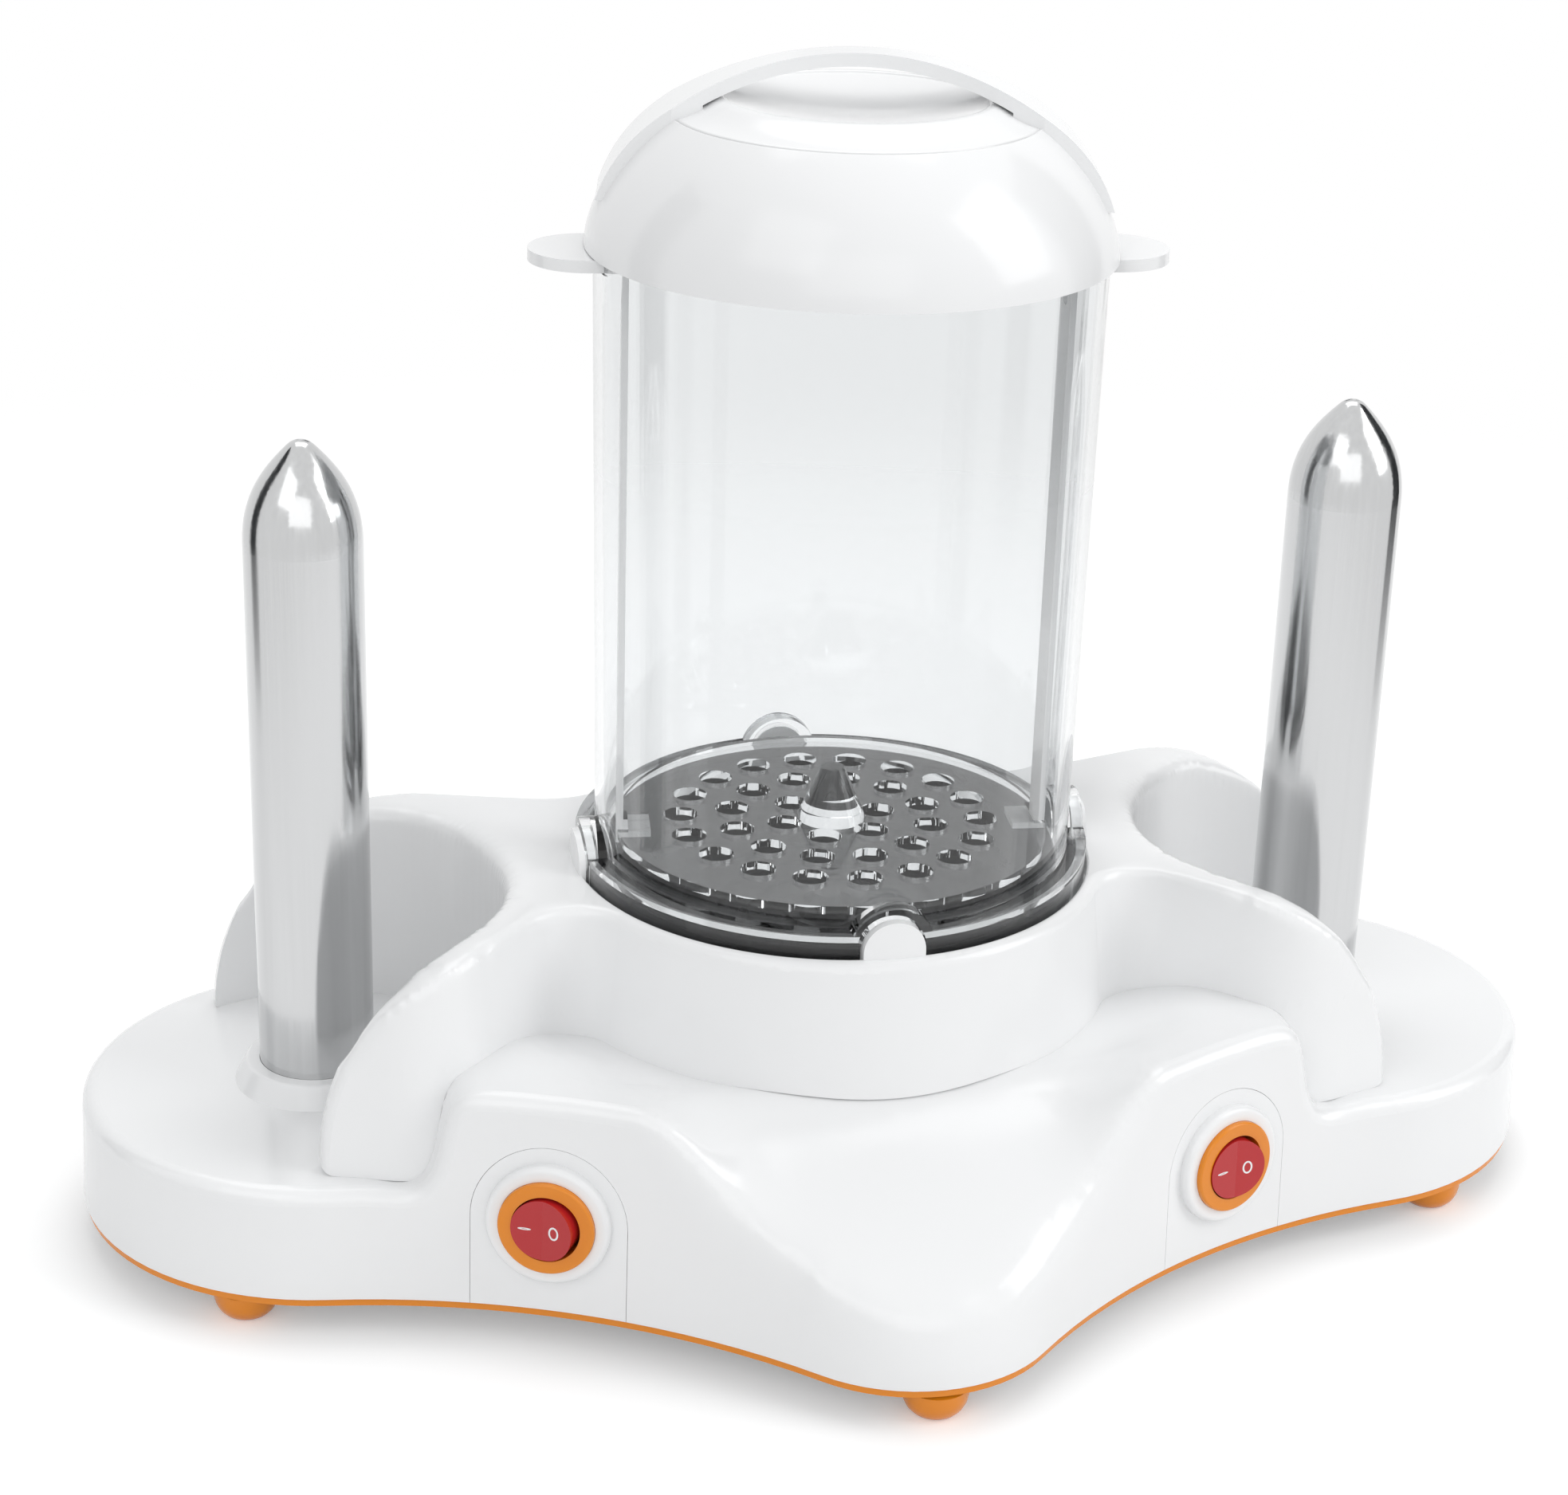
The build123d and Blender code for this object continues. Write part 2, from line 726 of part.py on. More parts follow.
def dome_r(z, inset=0.0):
    """Radius of the dome at a height."""
    share = 1 - ((z - lid_z) / (dome_height - inset)) ** dome_top_share
    return (lid_r - inset) * share ** (1 / dome_side_share)


def dome_arc(r0, r1, inset=0.0):
    """Curve of the dome from one radius to a smaller one."""
    angle = [math.acos(r / (lid_r - inset)) for r in (r0, r1)]
    steps = [angle[0] + (angle[1] - angle[0]) * i / dome_points for i in range(dome_points + 1)]
    radii = [(lid_r - inset) * math.cos(a) for a in steps]
    return Spline(*[(r, dome_z(r, inset)) for r in radii])


def make_lid():
    """Domed lid with a lip, a dished crown and an arched strap handle."""
    lip_in = lid_lip_r - lid_lip_w
    floor = lid_dome_z - lid_groove
    outer = dome_arc(lid_r, lid_lip_r)
    dish_r = (lid_crown_r ** 2 + lid_crown_dip ** 2) / (2 * lid_crown_dip)
    rim = Polyline(outer @ 1, (lip_in, lid_dome_z), (lip_in, floor), (lid_crown_r, floor),
                   (lid_crown_r, lid_crown_z), (0, lid_crown_z))
    shelf_r = cyl_top_r - lid_seat_w
    ceil = floor - lid_t
    inner = dome_arc(shelf_r, dome_r(ceil, lid_t), lid_t)
    low = Polyline((0, lid_crown_z), (0, ceil), inner @ 1)
    side = Polyline(inner @ 0, (shelf_r, lid_z), (lid_r, lid_z))
    line = Wire.combine([outer, *rim.edges(), *low.edges(), inner, *side.edges()])[0]
    body = revolve(Plane.XZ * make_face(line), axis=Axis.Z)
    body -= Pos(0, 0, lid_crown_z - lid_crown_dip + dish_r) * Rot(90, 0, 0) * Sphere(dish_r)
    return Rot(0, 0, lid_turn) * (body + make_handle())


def make_handle():
    """Strap that arches over the crown, narrow in the middle."""
    zc = handle_top_z - handle_out_r

    def over_arc(x, r):
        return zc + math.sqrt(r * r - x * x)

    e, g = handle_end_x, handle_leg_x
    inner_r = handle_out_r - handle_t
    top = ThreePointArc((e, over_arc(e, handle_out_r)), (0, handle_top_z),
                        (-e, over_arc(e, handle_out_r)))
    drop = math.sqrt(handle_out_r ** 2 - e * e)
    legs = []
    for s in (1, -1):
        legs.append(Spline((s * e, over_arc(e, handle_out_r)), (s * g, handle_leg_z),
                           tangents=[(s * drop, -e), (s, -handle_leg_steep_share)]))
    c = lid_crown_r + handle_t
    arch = ThreePointArc((c, over_arc(c, inner_r)), (0, handle_top_z - handle_t),
                         (-c, over_arc(c, inner_r)))
    floor = lid_dome_z - lid_groove - lid_t / 2
    low = []
    for s in (1, -1):
        low.append(Polyline((s * c, over_arc(c, inner_r)), (s * c, floor), (s * lid_lip_r, floor),
                            (s * dome_r(handle_leg_z, lid_t / 2), handle_leg_z), (s * g, handle_leg_z)))
    parts = [top, legs[0], legs[1], arch, *low[0].edges(), *low[1].edges()]
    side = extrude(Plane.XZ * make_face(Wire.combine(parts)[0]), amount=handle_end_w, both=True)
    m, w = handle_mid_w / 2, handle_end_w / 2
    waist = [ThreePointArc((-e, t * w), (0, t * m), (e, t * w)) for t in (1, -1)]
    far = lid_r
    ends = [Polyline((s * e, w), (s * far, w), (s * far, -w), (s * e, -w)) for s in (1, -1)]
    plan = make_face(Wire.combine([*waist, *ends[0].edges(), *ends[1].edges()])[0])
    return side & extrude(Pos(0, 0, lid_z) * plan, amount=over)


# Spikes

def make_spike(s):
    """Hollow steel spike with a rounded nose, open below the platform."""
    z0 = platform_z - wall_t - spike_nut_t - spike_tail
    shoulder = spike_top_z - spike_nose_l
    shapes = []
    for d in (0.0, spike_t):
        r, tip = spike_r - d, spike_tip_r - d
        top = spike_top_z - d
        nose = Spline((r, shoulder), (tip, top - tip / 2), (0, top), tangents=[(0, 1), (-1, 0)])
        low = Polyline((0, top), (0, z0), (r, z0), (r, shoulder))
        shapes.append(revolve(Plane.XZ * make_face(Wire.combine([nose, *low.edges()])[0]), axis=Axis.Z))
    return Pos(s * spike_x, 0, 0) * (shapes[0] - shapes[1])


def make_collar(s):
    """Tapered collar round a spike's foot."""
    bore = spike_r + spike_gap
    body = turned([(bore, platform_z), (collar_r, platform_z), (collar_top_r, platform_z + collar_h),
                   (bore, platform_z + collar_h)])
    edge = circle_edge(body, collar_top_r, platform_z + collar_h)
    return Pos(s * spike_x, 0, 0) * fillet(edge, collar_edge_r)


def make_rod(s):
    """Cartridge heater inside a spike, held by a bush at its foot."""
    z0 = platform_z - wall_t - spike_nut_t - spike_tail
    return rod(rod_r, z0, z0 + rod_l, s * spike_x) + rod(
        spike_r - spike_t - bush_gap, z0, z0 + bush_t, s * spike_x)


# Switches

def key_levels():
    """Heights along a switch's axis: ring face, and the rocker's pivot."""
    face = bezel_h - flange_seat + flange_t
    return face, face - pivot_drop


def make_switch(s):
    """Ring flange and barrel of a round rocker switch."""
    face, pivot = key_levels()
    seat = bezel_h - flange_seat
    body = rod(flange_r, seat, face)
    body = fillet(circle_edge(body, flange_r, face), flange_edge_r)
    body += rod(barrel_r, -barrel_l, seat)
    body -= rod(key_bore_r, face - key_bore_l, face)
    body -= Pos(0, 0, pivot) * Rot(90, 0, 0) * Cylinder(pivot_r + pivot_gap, 2 * (barrel_r - pivot_end_gap))
    return switch_plane(s) * body


def make_rocker(s):
    """Round rocker with a shallow valley across its face and two pivot pins."""
    _, pivot = key_levels()
    body = rod(key_r, -key_skirt, key_crown)
    valley = make_face(Polyline((-key_r, key_crown), (0, key_crown - key_dip), (key_r, key_crown),
                                (key_r, key_crown + key_dip), (-key_r, key_crown + key_dip), close=True))
    body -= extrude(Plane.XZ * valley, amount=key_r, both=True)
    body += Rot(90, 0, 0) * Cylinder(pivot_r, 2 * (barrel_r - 2 * pivot_end_gap))
    return switch_plane(s) * Pos(0, 0, pivot) * Rot(0, -key_tilt, 0) * body


def make_terminals(s):
    """Two flat blades behind a switch."""
    blades = []
    for t in (1, -1):
        blade = Pos(t * blade_x, 0, -barrel_l) * Box(blade_t, blade_w, blade_l,
                                                     align=(Align.CENTER, Align.CENTER, Align.MAX))
        blades.append(switch_plane(s) * blade)
    return blades


# Terminal block and gland

def make_block():
    """Screw terminal block on the bottom plate."""
    body = brick(-block_l / 2, block_l / 2, block_y - block_w / 2, block_y + block_w / 2, base_z,
                 base_z + block_h)
    for i in (-1, 0, 1):
        hole = Pos(i * block_hole_step, block_y, base_z + block_h / 2) * Rot(90, 0, 0) * Cylinder(
            block_hole_r, block_w)
        body -= hole
    return body


def make_gland():
    """Flanged bush where the lead enters at the back."""
    body = rod(gland_r, -panel_reach, 0) + rod(gland_flange_r, 0, gland_flange_t)
    return gland_plane() * (body - rod(gland_bore_r, -panel_reach, gland_flange_t))


def save(name, shape):
    """Write one sub-part, which may be several separate solids."""
    solids = shape if isinstance(shape, list) else [shape]
    group = Compound([s for item in solids for s in item.solids()])
    export_step(group, f"parts/{name}.step")


os.makedirs("parts", exist_ok=True)
_, _, bowl_under = bowl_levels()
clamp_top_z = bowl_under - 2 * element_r
save("base_plate", make_plate())
for i, (x, y) in enumerate(foot_places(), start=1):
    save(f"foot_{i}", make_foot(x, y))
save("base_screws", make_screws())
save("glass_container", make_container())
save("heater_bowl", make_bowl())
save("bowl_seal", ring_of(upstand_r - seal_w, upstand_r, upstand_z, upstand_z + seal_t))
save("heater_element", make_element())
save("element_clamp", make_clamp())
save("element_nut", make_nut(nut_r, nut_h, stud_r + nut_gap, clamp_top_z - clamp_t))
save("thermostat", make_thermostat())
save("thermal_fuse", make_fuse())
save("rack_plate", make_rack_plate())
save("lid", make_lid())
save("terminal_block", make_block())
save("cord_gland", make_gland())
for side, s in (("left", -1), ("right", 1)):
    save(f"rack_grip_{side}", make_grip(s))
    save(f"spike_{side}", make_spike(s))
    save(f"spike_collar_{side}", make_collar(s))
    save(f"spike_heater_{side}", make_rod(s))
    save(f"spike_nut_{side}", make_nut(spike_nut_r, spike_nut_t, spike_r + spike_gap,
                                       platform_z - wall_t - spike_nut_gap, s * spike_x))
    save(f"switch_body_{side}", make_switch(s))
    save(f"rocker_{side}", make_rocker(s))
    save(f"switch_terminals_{side}", make_terminals(s))
outer, housing, panels = make_base()
save("base_housing", housing)
for side, panel in zip(("left", "right"), panels):
    save(f"switch_panel_{side}", panel)
save("tower_cover", make_tower(outer))
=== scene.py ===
import json
import math

import bmesh
import bpy
import numpy as np
from mathutils import Matrix, Vector, kdtree


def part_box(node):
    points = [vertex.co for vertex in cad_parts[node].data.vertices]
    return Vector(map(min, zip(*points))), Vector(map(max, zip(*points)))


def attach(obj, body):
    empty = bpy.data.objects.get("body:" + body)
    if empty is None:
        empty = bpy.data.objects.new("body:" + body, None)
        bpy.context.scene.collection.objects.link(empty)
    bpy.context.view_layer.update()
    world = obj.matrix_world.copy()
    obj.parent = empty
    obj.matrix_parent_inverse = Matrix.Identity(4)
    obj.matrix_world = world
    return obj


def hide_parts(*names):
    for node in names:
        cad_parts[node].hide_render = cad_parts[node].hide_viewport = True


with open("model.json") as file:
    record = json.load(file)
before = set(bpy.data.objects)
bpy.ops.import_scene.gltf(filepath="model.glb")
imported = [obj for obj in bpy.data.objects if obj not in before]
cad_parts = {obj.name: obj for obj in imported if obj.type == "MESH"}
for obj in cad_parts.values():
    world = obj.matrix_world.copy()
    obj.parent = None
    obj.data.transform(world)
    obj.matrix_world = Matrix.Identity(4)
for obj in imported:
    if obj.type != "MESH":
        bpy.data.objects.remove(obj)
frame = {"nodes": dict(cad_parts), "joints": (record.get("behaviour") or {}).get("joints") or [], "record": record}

# The hot dog spike machine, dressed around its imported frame. Metres throughout.

nodes = frame["nodes"]
joints = {joint["name"]: joint for joint in frame["joints"]}
scene = bpy.context.scene
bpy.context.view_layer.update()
MM = 0.001
HALF = 0.5
UPWARD = (0.0, 0.0, 1.0)

# Colours, linear
WHITE = (0.86, 0.865, 0.87)
ORANGE = (0.78, 0.245, 0.008)
RED = (0.48, 0.016, 0.020)
SEAL_GREY = (0.16, 0.16, 0.165)
INNER_GREY = (0.62, 0.62, 0.63)
CLEAR = (0.90, 0.91, 0.915)
BLACK = (0.004, 0.004, 0.0045)
BLACK_SPECK = (0.0088, 0.0088, 0.0099)
STEEL = (0.62, 0.625, 0.63)
INNER_STEEL = (0.55, 0.55, 0.56)
BRASS = (0.72, 0.5, 0.2)
PURE_WHITE = (1.0, 1.0, 1.0)

# Noise patterns: scale, detail and stretch along the axes
EVEN = (1.0, 1.0, 1.0)
PLASTIC_FLOW = (14.0, 3.0, EVEN)
PLASTIC_SHINE = (55.0, 4.0, EVEN)
CLEAR_FLOW = (20.0, 2.0, EVEN)
CLEAR_HAZE = (60.0, 3.0, EVEN)
STEEL_BRUSHING = (700.0, 3.0, (1.0, 1.0, 0.02))
COATING_SPECK = (1500.0, 2.0, EVEN)
COATING_SHINE = (90.0, 4.0, EVEN)
METAL_GRAIN = (400.0, 3.0, (1.0, 1.0, 0.2))
PAPER_TONE = (3.0, 2.0, EVEN)
NOISE_RANGE = (0.3, 0.7)

# Moulded plastics: colour, roughness, share of the colour where it is darkest, and scale and
# strength of the grain
PLASTICS = {
    "white_plastic": (WHITE, 0.16, 0.98, 900.0, 0.06),
    "orange_plastic": (ORANGE, 0.22, 0.94, 900.0, 0.06),
    "red_plastic": (RED, 0.12, 0.94, 900.0, 0.06),
    "seal_rubber": (SEAL_GREY, 0.55, 0.9, 500.0, 0.2),
    "inner_plastic": (INNER_GREY, 0.5, 0.94, 700.0, 0.15),
}
GRAIN_DETAIL = 2.0
GRAIN_DEPTH = 0.03 * MM
PLASTIC_IOR = 1.49
PLASTIC_ROUGH_SHARES = (0.85, 1.2)

# Clear plastic
CLEAR_DARK_SHARE = 0.985
CLEAR_ROUGH = (0.0, 0.03)
CLEAR_IOR = 1.42
CLEAR_NODES = ("glass_container", "rack_plate")

# Polished steel
STEEL_DARK_SHARE = 0.9
STEEL_ROUGH = (0.10, 0.20)
STEEL_RELIEF = 0.05
STEEL_DEPTH = 0.02 * MM

# Black non-stick coating
COATING_ROUGH = (0.16, 0.28)
COATING_RELIEF = 0.12
COATING_DEPTH = 0.03 * MM
COATING_GLOSS = 0.12

# Metals inside: colour and roughness
INNER_METALS = {
    "brass": (BRASS, 0.3),
    "inner_steel": (INNER_STEEL, 0.35),
}
INNER_DARK_SHARE = 0.85
INNER_ROUGH_SHARES = (0.8, 1.2)

# Copies of the solids: reach of a weld and of one spot, turn from which an edge is sharp,
# corners of a triangle, and a weight that stands for none
WELD = 0.01 * MM
SAME_SPOT = 2.0 * WELD
SHARP_TURN = math.radians(35.0)
TRIANGLE_N = 3
LEAST_WEIGHT = 1.0e-10

# Bottom plate: height of its edge, how far the underside slants in, and how far the normal
# of an upright face may lean
PLATE_EDGE = 2.0 * MM
PLATE_SLANT = 3.4 * MM
UPRIGHT_LEAN = 0.5

# Softened nose: the softening fades between each pair of limits
NOSE_X = (66.0 * MM, 48.0 * MM)
NOSE_Y = (-62.0 * MM, -80.0 * MM)
NOSE_Z = (13.0 * MM, 24.0 * MM)
NOSE_STEP = 2.6 * MM
NOSE_PASSES = 60

# Softened edges of the walls round the spikes, in the same way
WALLS_R = (74.0 * MM, 79.0 * MM)
WALLS_Z = (67.0 * MM, 71.0 * MM)
WALLS_STEP = 2.0 * MM
WALLS_PASSES = 14
MOST_CUTS = 7

# Rim of the heating bowl behind the clear skirt
BOWL_RIM_IN = 61.2 * MM
BOWL_RIM_OUT = 63.4 * MM
BOWL_RIM_TOP = 96.8 * MM
BOWL_RIM_LAP = 0.4 * MM
BOWL_RIM_ARC_N = 8

# Soft shoulder round the lid's crown: radius and height above the dome's top at each point
SHOULDER = (
    (31.4 * MM, 3.6 * MM),
    (31.8 * MM, 4.5 * MM),
    (32.8 * MM, 4.75 * MM),
    (34.0 * MM, 4.5 * MM),
    (35.4 * MM, 3.85 * MM),
    (37.2 * MM, 2.85 * MM),
    (39.2 * MM, 1.85 * MM),
    (41.4 * MM, 1.0 * MM),
    (43.4 * MM, 0.45 * MM),
    (44.8 * MM, 0.1 * MM),
    (44.2 * MM, -0.5 * MM),
    (42.6 * MM, -1.1 * MM),
    (31.8 * MM, -1.1 * MM),
)
CROWN_H = 4.6 * MM
HANDLE_H = 11.0 * MM
RING_STEPS = 128

# Foot, drawn in to a narrower sole round its screw hole: radius and height at each point
FOOT = (
    (1.4 * MM, 0.0 * MM),
    (4.8 * MM, 0.0 * MM),
    (5.9 * MM, 0.5 * MM),
    (7.0 * MM, 1.7 * MM),
    (7.8 * MM, 3.3 * MM),
    (8.2 * MM, 5.2 * MM),
    (8.3 * MM, 7.5 * MM),
    (2.9 * MM, 7.5 * MM),
    (2.9 * MM, 10.4 * MM),
    (1.4 * MM, 10.4 * MM),
)
FOOT_N = 6
FOOT_STEPS = 64

# Marks on the rockers, in each rocker's own plane: X level, Y up, Z outward
KEY_R = 7.9 * MM
KEY_CROWN = 4.7 * MM
KEY_DIP = 1.0 * MM
KEY_TILT = math.radians(-9.0)
MARK_H = 0.06 * MM
MARK_STEPS = 40
RING_X = 3.1 * MM
RING_RX = 1.35 * MM
RING_RY = 1.75 * MM
RING_W = 0.45 * MM
DASH_X = -4.4 * MM
DASH_RX = 1.65 * MM
DASH_RY = 0.3 * MM
DASH_HOLE_RX = 0.825 * MM
DASH_HOLE_RY = 0.075 * MM

# Camera, as measured from the photograph, for an image of this width in pixels
IMAGE_W = 1967
FOCAL_PX = 4178.4
SENSOR_W = 36.0
EYE = (-0.1975, -0.7698, 0.4454)
CAMERA_RIGHT = (0.97469, -0.22178, 0.02799)
CAMERA_UP = (0.05848, 0.37383, 0.92565)
CLIP_NEAR = 0.05
CLIP_FAR = 20.0

# White surroundings: their light on the machine
WORLD_COLOUR = (0.955, 0.96, 0.965)
WORLD_LIGHT = 0.73

# Round pool of floor that fades into the white background
FLOOR_COLOUR = (0.82, 0.82, 0.82)
FLOOR_DARK_SHARE = 0.995
FLOOR_ROUGH = 0.75
FLOOR_GLOSS = 0.2
FLOOR_GLOW = 0.26
FLOOR_SIZE = 4.0
FLOOR_FADE = (0.34, 0.80)

# Dark cards: place, point faced, width and height, and whether soft light meets them
CARDS = {
    "card_right": ((0.75, 0.15, 0.35), (0.0, 0.0, 0.2), (0.35, 1.0), True),
    "card_left": ((-0.75, 0.25, 0.35), (0.0, 0.0, 0.2), (0.25, 1.0), True),
    "card_back": ((0.51, 2.0, 1.0), (0.0, 0.0, 0.1), (0.5, 0.4), False),
}
CARD_COLOUR = (0.05, 0.052, 0.055)
CARD_DARK_SHARE = 0.9
CARD_ROUGH = 0.9

# Softboxes, all facing one point: place, width and height, and watts
LAMPS = {
    "key": ((-2.4, -2.2, 3.0), (2.4, 2.4), 18.0),
    "fill": ((2.8, -1.2, 2.0), (1.8, 2.8), 38.0),
    "top": ((0.3, 1.4, 3.8), (3.2, 2.4), 42.0),
    "front": ((-0.6, -3.0, 1.6), (2.8, 1.8), 11.0),
}
LAMP_AIM = (0.0, 0.0, 0.1)


# Shader work

def value_node(tree, kind, **inputs):
    """A shader node with its named inputs set."""
    node = tree.nodes.new(kind)
    for name, value in inputs.items():
        node.inputs[name.replace("_", " ")].default_value = value
    return node


def new_material(name):
    """An empty node material: its tree and its main shader."""
    material = bpy.data.materials.new(name)
    material.use_nodes = True
    tree = material.node_tree
    return material, tree, tree.nodes["Principled BSDF"]


def opaque(colour):
    """The colour with a full alpha."""
    return (*colour, 1.0)


def scaled(values, factor):
    """Each value times the factor."""
    return tuple(value * factor for value in values)


def noise(tree, pattern):
    """Noise in object space, of a scale, a detail and a stretch along the axes."""
    scale, detail, stretch = pattern
    place = tree.nodes.new("ShaderNodeTexCoord")
    mapping = tree.nodes.new("ShaderNodeMapping")
    mapping.inputs["Scale"].default_value = stretch
    texture = value_node(tree, "ShaderNodeTexNoise", Scale=scale, Detail=detail)
    tree.links.new(place.outputs["Object"], mapping.inputs["Vector"])
    tree.links.new(mapping.outputs["Vector"], texture.inputs["Vector"])
    return texture.outputs["Fac"]


def spread(tree, source, limits):
    """The noise, spread between two limits."""
    node = tree.nodes.new("ShaderNodeMapRange")
    node.inputs["From Min"].default_value, node.inputs["From Max"].default_value = NOISE_RANGE
    node.inputs["To Min"].default_value, node.inputs["To Max"].default_value = limits
    tree.links.new(source, node.inputs["Value"])
    return node.outputs["Result"]


def tinted(tree, source, dark, light):
    """Colour that moves between two close shades with the noise."""
    mix = tree.nodes.new("ShaderNodeMix")
    mix.data_type = "RGBA"
    mix.inputs["A"].default_value = opaque(dark)
    mix.inputs["B"].default_value = opaque(light)
    tree.links.new(source, mix.inputs["Factor"])
    return mix.outputs["Result"]


def bumped(tree, shader, source, strength, depth):
    """Fine relief on the shader."""
    bump = value_node(tree, "ShaderNodeBump", Strength=strength, Distance=depth)
    tree.links.new(source, bump.inputs["Height"])
    tree.links.new(bump.outputs["Normal"], shader.inputs["Normal"])


def mixed(tree, share, one, two):
    """Surface that turns from the first shader into the second with the share."""
    mix = tree.nodes.new("ShaderNodeMixShader")
    tree.links.new(share, mix.inputs["Fac"])
    tree.links.new(one, mix.inputs[1])
    tree.links.new(two, mix.inputs[2])
    return mix.outputs["Shader"]


# Finishes of the machine

def plastic(name, colour, rough, dark_share, grain, relief):
    """Glossy moulded plastic: slight flow tone, uneven gloss and a faint skin."""
    material, tree, shader = new_material(name)
    tone = tinted(tree, noise(tree, PLASTIC_FLOW), scaled(colour, dark_share), colour)
    gloss = spread(tree, noise(tree, PLASTIC_SHINE), scaled(PLASTIC_ROUGH_SHARES, rough))
    tree.links.new(tone, shader.inputs["Base Color"])
    tree.links.new(gloss, shader.inputs["Roughness"])
    bumped(tree, shader, noise(tree, (grain, GRAIN_DETAIL, EVEN)), relief, GRAIN_DEPTH)
    shader.inputs["IOR"].default_value = PLASTIC_IOR
    return material


def clear_plastic():
    """Clear moulded plastic with a faint haze."""
    material, tree, shader = new_material("clear_plastic")
    tone = tinted(tree, noise(tree, CLEAR_FLOW), scaled(CLEAR, CLEAR_DARK_SHARE), CLEAR)
    haze = spread(tree, noise(tree, CLEAR_HAZE), CLEAR_ROUGH)
    tree.links.new(tone, shader.inputs["Base Color"])
    tree.links.new(haze, shader.inputs["Roughness"])
    shader.inputs["Transmission Weight"].default_value = 1.0
    shader.inputs["IOR"].default_value = CLEAR_IOR
    return material


def polished_steel():
    """Polished stainless tube with fine lengthwise brushing."""
    material, tree, shader = new_material("polished_steel")
    line = noise(tree, STEEL_BRUSHING)
    tone = tinted(tree, line, scaled(STEEL, STEEL_DARK_SHARE), STEEL)
    tree.links.new(tone, shader.inputs["Base Color"])
    tree.links.new(spread(tree, line, STEEL_ROUGH), shader.inputs["Roughness"])
    bumped(tree, shader, line, STEEL_RELIEF, STEEL_DEPTH)
    shader.inputs["Metallic"].default_value = 1.0
    return material


def coated_metal():
    """Black non-stick coating with a fine speckle."""
    material, tree, shader = new_material("black_coating")
    speck = noise(tree, COATING_SPECK)
    gloss = spread(tree, noise(tree, COATING_SHINE), COATING_ROUGH)
    tree.links.new(tinted(tree, speck, BLACK, BLACK_SPECK), shader.inputs["Base Color"])
    tree.links.new(gloss, shader.inputs["Roughness"])
    bumped(tree, shader, speck, COATING_RELIEF, COATING_DEPTH)
    shader.inputs["Specular IOR Level"].default_value = COATING_GLOSS
    return material


def inner_metal(name, colour, rough):
    """Plain metal for the parts inside."""
    material, tree, shader = new_material(name)
    grain = noise(tree, METAL_GRAIN)
    tone = tinted(tree, grain, scaled(colour, INNER_DARK_SHARE), colour)
    gloss = spread(tree, grain, scaled(INNER_ROUGH_SHARES, rough))
    tree.links.new(tone, shader.inputs["Base Color"])
    tree.links.new(gloss, shader.inputs["Roughness"])
    shader.inputs["Metallic"].default_value = 1.0
    return material


# Mesh work

def add_piece(name, mesh, finish, body, smooth=True):
    """New piece from a mesh, with a finish, riding on a body."""
    data = bpy.data.meshes.new(name)
    bmesh.ops.recalc_face_normals(mesh, faces=mesh.faces)
    mesh.to_mesh(data)
    mesh.free()
    piece = bpy.data.objects.new(name, data)
    scene.collection.objects.link(piece)
    for face in data.polygons:
        face.use_smooth = smooth
    data.materials.append(finishes[finish])
    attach(piece, body)
    return piece


def lathe(profile, steps):
    """Ring turned round Z from a closed outline in radius and height."""
    mesh = bmesh.new()
    rings = []
    for i in range(steps):
        a = math.tau * i / steps
        rings.append([mesh.verts.new((r * math.cos(a), r * math.sin(a), z)) for r, z in profile])
    for i in range(steps):
        one = rings[i]
        two = rings[(i + 1) % steps]
        for k in range(len(profile)):
            m = (k + 1) % len(profile)
            mesh.faces.new((one[k], two[k], two[m], one[m]))
    return mesh


def copied(node):
    """Welded mesh of a solid."""
    mesh = bmesh.new()
    mesh.from_mesh(nodes[node].data)
    bmesh.ops.remove_doubles(mesh, verts=mesh.verts, dist=WELD)
    return mesh


def split_to_triangles(mesh):
    """Faces of four corners or more, made into triangles."""
    bmesh.ops.triangulate(mesh, faces=[f for f in mesh.faces if len(f.verts) > TRIANGLE_N])


def soften(mesh, share_at, step, passes):
    """Finer triangles where the share is above zero, then even out their points."""
    for _ in range(MOST_CUTS):
        long_edges = [e for e in mesh.edges
                      if e.calc_length() > step and max(share_at(v.co) for v in e.verts) > 0]
        if not long_edges:
            break
        bmesh.ops.subdivide_edges(mesh, edges=long_edges, cuts=1)
        split_to_triangles(mesh)
    mesh.verts.index_update()
    spots = np.array([v.co[:] for v in mesh.verts])
    shares = np.array([share_at(v.co) for v in mesh.verts])
    ends = np.array([[v.index for v in e.verts] for e in mesh.edges])
    ends = ends[shares[ends].max(axis=1) > 0]
    near, far = np.concatenate([ends, ends[:, ::-1]]).T
    for _ in range(passes):
        length = np.linalg.norm(spots[far] - spots[near], axis=1)
        weight = np.bincount(near, length, len(spots))
        pulls = (spots[far] * length[:, None]).T
        total = np.stack([np.bincount(near, pull, len(spots)) for pull in pulls], axis=1)
        mean = total / np.maximum(weight, LEAST_WEIGHT)[:, None]
        spots += (mean - spots) * (shares * HALF)[:, None]
    for vert, spot in zip(mesh.verts, spots):
        vert.co = spot
    bmesh.ops.dissolve_degenerate(mesh, dist=WELD, edges=mesh.edges)
    split_to_triangles(mesh)


